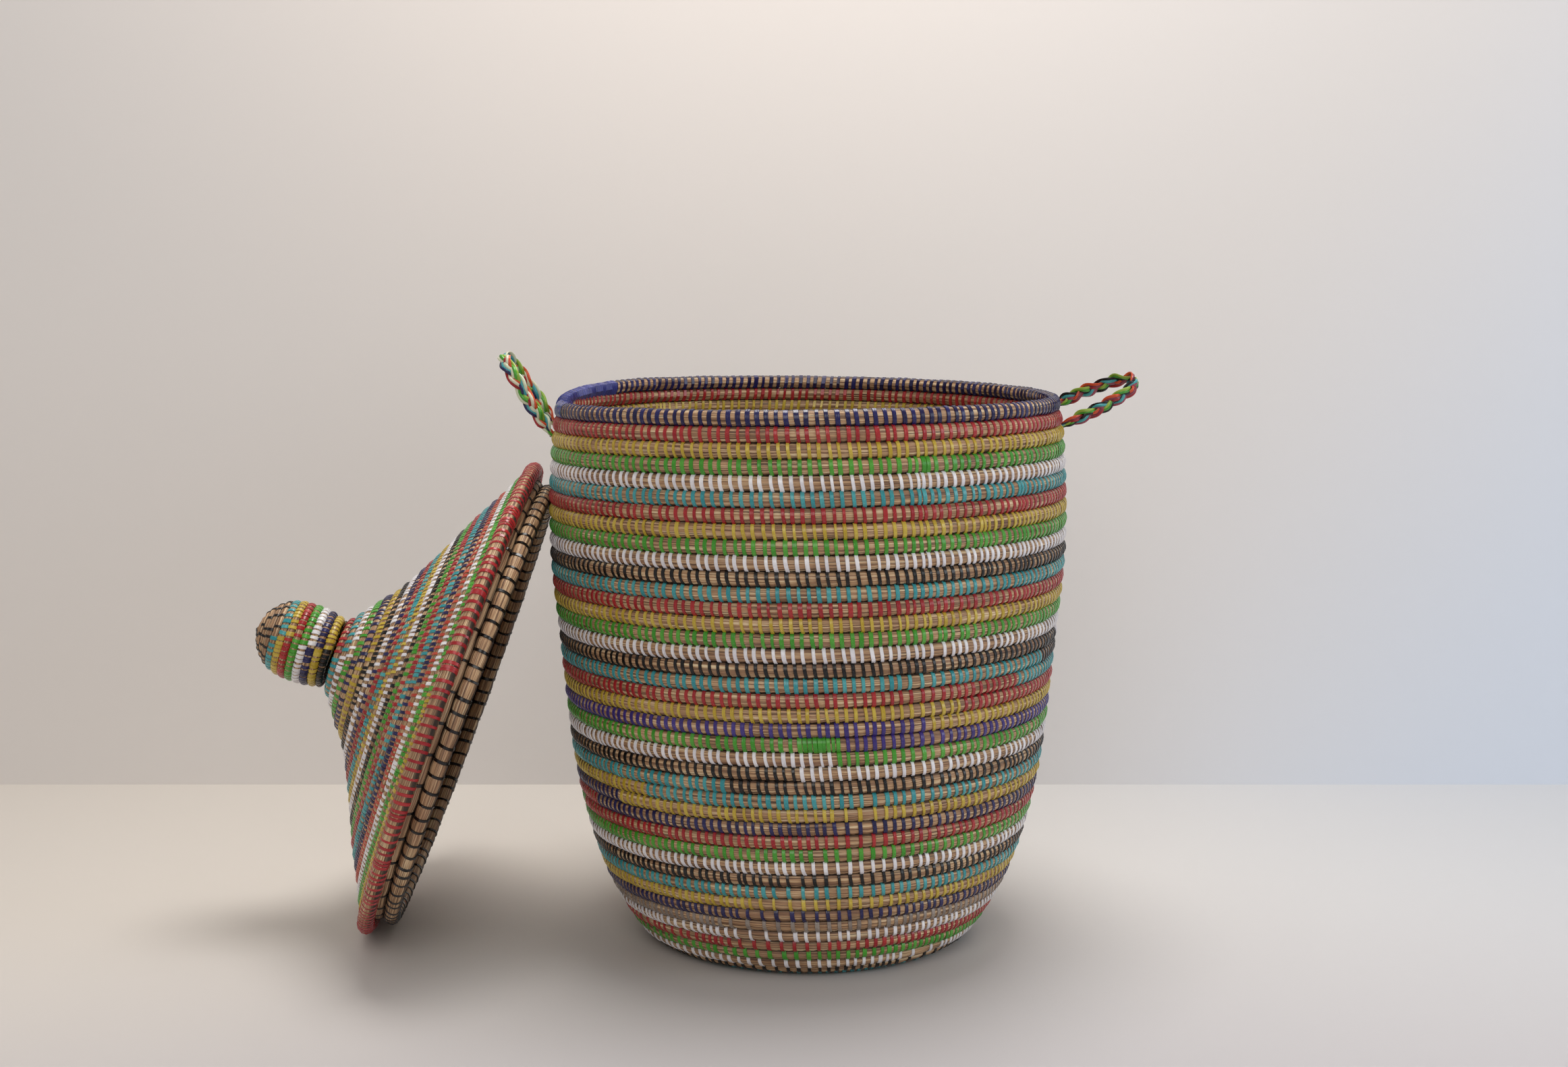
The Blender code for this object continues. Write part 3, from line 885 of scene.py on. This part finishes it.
def plaitStrips(along, path, strand, loop, place):
    # A flat plait stands on edge in its loop. Each strand swings across it a third of a
    # period after the last, and dips under the others twice a period:
    # across = swing x sin, over = weave x sin of twice that
    tangent = np.gradient(path, axis=0)
    tangent = tangent / np.hypot(*tangent.T)[:, None]
    face = np.stack((-tangent[:, 1], tangent[:, 0], 0 * along), -1)
    middle = np.stack((path[:, 0], path[:, 1], 0 * along), -1)
    far, length = plait["uneven"]
    phase = tau * along / plait["period"] + tau * strand / 3
    phase = phase + far * np.sin(tau * along / length + loop["wobble"] + strand)
    length, least = plait["tied"]
    near = np.clip(np.minimum(along, along[-1] - along) / length, least, 1)
    across = plait["swing"] * np.sin(phase) * near
    over = plait["weave"] * np.sin(2 * phase) * near
    up = np.array([0.0, 0.0, 1.0])
    middle = middle + up * across[:, None] + face * over[:, None]
    way = np.gradient(middle, axis=0)
    way = way / np.linalg.norm(way, axis=1)[:, None]
    flat = np.cross(face, way)
    flat = flat / np.linalg.norm(flat, axis=1)[:, None]
    rise = np.cross(way, flat)
    turn = tau * np.arange(tubeSides) / tubeSides
    wide, thick = plait["stripHalf"]
    far, length = plait["bend"]
    most, less = plait["crown"]
    for k, colour in enumerate(loop["strands"][strand]):
        beside = k - 1
        bend = far * np.sin(tau * along / length + 1.9 * k + strand + loop["wobble"])
        offset = beside * (plait["strandHalf"] - wide) + bend
        tall = thick * (most - less * abs(beside))
        centre = middle + flat * (offset * near)[:, None] + rise * bend[:, None]
        ring = flat[:, None] * (wide * np.cos(turn))[None, :, None]
        ring = ring + rise[:, None] * (tall * np.sin(turn))[None, :, None]
        points = centre[:, None] + ring * near[:, None, None] ** 0.5
        yield colour, points @ place[:3, :3].T + place[:3, 3]


for name, loop in loops.items():
    place = (
        Matrix.Translation(loop["hinge"])
        @ Matrix.Rotation(math.radians(loop["turn"]), 4, "Z")
        @ Matrix.Rotation(math.radians(loop["roll"]), 4, "X")
        @ Matrix.Rotation(-math.radians(loop["lift"]), 4, "Y")
    )
    along, path = plaitPath()
    tubes = {}
    for strand in range(3):
        for colour, points in plaitStrips(along, path, strand, loop, np.array(place)):
            tubes.setdefault(colour, []).append(points)
    rings, caps = len(along), capQuads(tubeSides)
    corners = rings * tubeSides
    # Its faces are turned round, because its sides run the other way from a coil's
    one = np.vstack(
        (gridQuads(rings, tubeSides, False, True), caps[:, ::-1], caps + corners - tubeSides)
    )[:, ::-1]
    girth = np.arange(tubeSides + 1) * plait["mapStep"]
    oneMap = np.vstack(
        (
            gridMap(rings, tubeSides, False, True, along, girth),
            np.zeros((2 * len(caps), 4, 2)),
        )
    )
    for colour, sets in tubes.items():
        quads = np.vstack([one + i * corners for i in range(len(sets))])
        tone = np.repeat(chance.random(len(sets)), corners)
        piece = makePiece(
            f"{name}_{colour}", np.stack(sets), quads, np.vstack([oneMap] * len(sets)),
            strips[colour], name, tone,
        )
    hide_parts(name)
print("loops made")


camera = {
    "distance": 1.5925,
    "height": 0.5084,
    "azimuth": -4.0,
    "aside": -0.0189,
    "tilt": 6.61,
    "lens": 45.82,
}
turned = math.radians(camera["azimuth"])
ahead = np.array((-math.sin(turned), math.cos(turned), 0))
right = np.array((math.cos(turned), math.sin(turned), 0))

room = {
    "floor": {
        # Painted light: warmer on the left and cooler on the right, as the lamps' light falls, and
        # darker round the spot in front, a painted shadow in front of the basket
        "left": paint(213, 206, 198), "right": paint(199, 199, 201),
        "spot": paint(184, 180, 183), "spotAt": (0.0, -1.6, 0.0),
        "spotFade": (1.05, 1.85),   # distances from the spot between which it fades
        "sideFade": (-0.3, 0.8),    # and where the left's colour becomes the right's
    },
    "backdrop": {
        # Painted light: warm on the left and cool on the right, as the lamps' light falls, and
        # paler round the spot at the top middle, a painted pool of the top lamp's light
        "left": paint(222, 217, 214), "right": paint(210, 217, 229),
        "spot": paint(237, 229, 223), "spotAt": (-0.05, 0.48, 1.15),
        "spotFade": (0.2, 0.9), "sideFade": (0.1, 0.85),
    },
    # How the painted warm light on the left gives way to the painted cool light on the right
    "sideways": (1, 0, -0.6),   # on the backdrop the right's colour reaches further low down
    "roughness": 0.55,
    "backdropAt": 0.48,         # behind the object, square to the view
    "half": 6.0,
    "world": (1.0, 0.98, 0.96, 1.0),
    "worldLight": 0.4,
    "worldSeen": 0.25,          # how much paler the camera sees it than it lights
}


def flatSheet(name, corners):
    # Painted light: its colour goes from the left's to the right's, painted warm and cool
    # light, and to a third one round a spot, painted shadow on the floor and a painted pool of
    # light on the backdrop
    mesh = bpy.data.meshes.new(name)
    mesh.from_pydata(corners, [], [(0, 1, 2, 3)])
    look = room[name]
    made = Finish(name, Roughness=room["roughness"])
    here = made.node("TexCoord", {}, {}, 3)
    sideways = {0: here, 1: room["sideways"]}
    across = made.node("VectorMath", {"operation": "DOT_PRODUCT"}, sideways, 1)
    away = made.node("VectorMath", {"operation": "DISTANCE"}, {0: here, 1: look["spotAt"]}, 1)
    # Painted warm light on the left and cool light on the right, then round the spot the floor's
    # painted shadow and the backdrop's painted pool of light
    sides = made.blend(across.step(*look["sideFade"]), look["left"], look["right"])
    colour = made.blend(away.step(*look["spotFade"]), look["spot"], sides)
    made.fill(made.shader, {"Base Color": colour})
    # From its other side it is clear, so that it hides nothing in a view from there
    backFacing = made.node("NewGeometry", {}, {}, 6)
    clear = made.node("BsdfTransparent")
    seen = {0: backFacing, 1: Value(made, made.shader.outputs[0]), 2: clear}
    made.fill(made.tree.nodes["Material Output"], {"Surface": made.node("MixShader", {}, seen)})
    mesh.materials.append(made.material)
    obj = bpy.data.objects.new(name, mesh)
    bpy.context.scene.collection.objects.link(obj)


side, up = right * room["half"], np.array((0, 0, room["half"]))
front, back, foot = -ahead * room["half"], ahead * room["half"], ahead * room["backdropAt"]
flatSheet("floor", [front - side, front + side, back + side, back - side])
flatSheet("backdrop", [foot - side, foot + side, foot + side + up, foot - side + up])

lamps = {
    "top": {
        "at": (0.1, 0.05, 2.0), "aim": (0.04, 0.05, 0.2), "size": 0.9, "power": 24,
        "colour": (1, 0.98, 0.95),
    },
    "front": {
        "at": (-0.5, -2.7, 1.8), "aim": (0, 0, 0.25), "size": 1.8, "power": 22,
        "colour": (1, 0.965, 0.92),
    },
    "side": {
        "at": (2.2, -1.2, 0.9), "aim": (0, 0, 0.2), "size": 1.4, "power": 15,
        "colour": (0.86, 0.93, 1),
    },
}
for name, lamp in lamps.items():
    data = bpy.data.lights.new(name, "AREA")
    data.shape, data.size, data.energy = "DISK", lamp["size"], lamp["power"]
    data.color = lamp["colour"]
    obj = bpy.data.objects.new(name, data)
    bpy.context.scene.collection.objects.link(obj)
    x, y, z = np.array(lamp["aim"]) - np.array(lamp["at"])
    obj.location = lamp["at"]
    obj.rotation_euler = (math.atan2(math.hypot(x, y), -z), 0, math.atan2(-x, y))

world = bpy.data.worlds.new("room")
bpy.context.scene.world = world
world.use_nodes = True
background = world.node_tree.nodes["Background"].inputs
background["Color"].default_value = room["world"]
# Strength = its light, and some more for what the camera itself sees of it
ray = world.node_tree.nodes.new("ShaderNodeLightPath").outputs["Is Camera Ray"]
level = world.node_tree.nodes.new("ShaderNodeMath")
level.operation = "MULTIPLY_ADD"
level.inputs[1].default_value = room["worldSeen"]
level.inputs[2].default_value = room["worldLight"]
world.node_tree.links.new(ray, level.inputs[0])
world.node_tree.links.new(level.outputs[0], background["Strength"])

data = bpy.data.cameras.new("camera")
data.lens, data.sensor_width = camera["lens"], 36.0
data.clip_start, data.clip_end = 0.05, 50
viewer = bpy.data.objects.new("camera", data)
bpy.context.scene.collection.objects.link(viewer)
viewer.location = right * camera["aside"] - ahead * camera["distance"] + (0, 0, camera["height"])
viewer.rotation_euler = (math.radians(90 - camera["tilt"]), 0, turned)
bpy.context.scene.camera = viewer
bpy.context.scene.view_settings.view_transform = "Standard"
print("room, light and camera made")
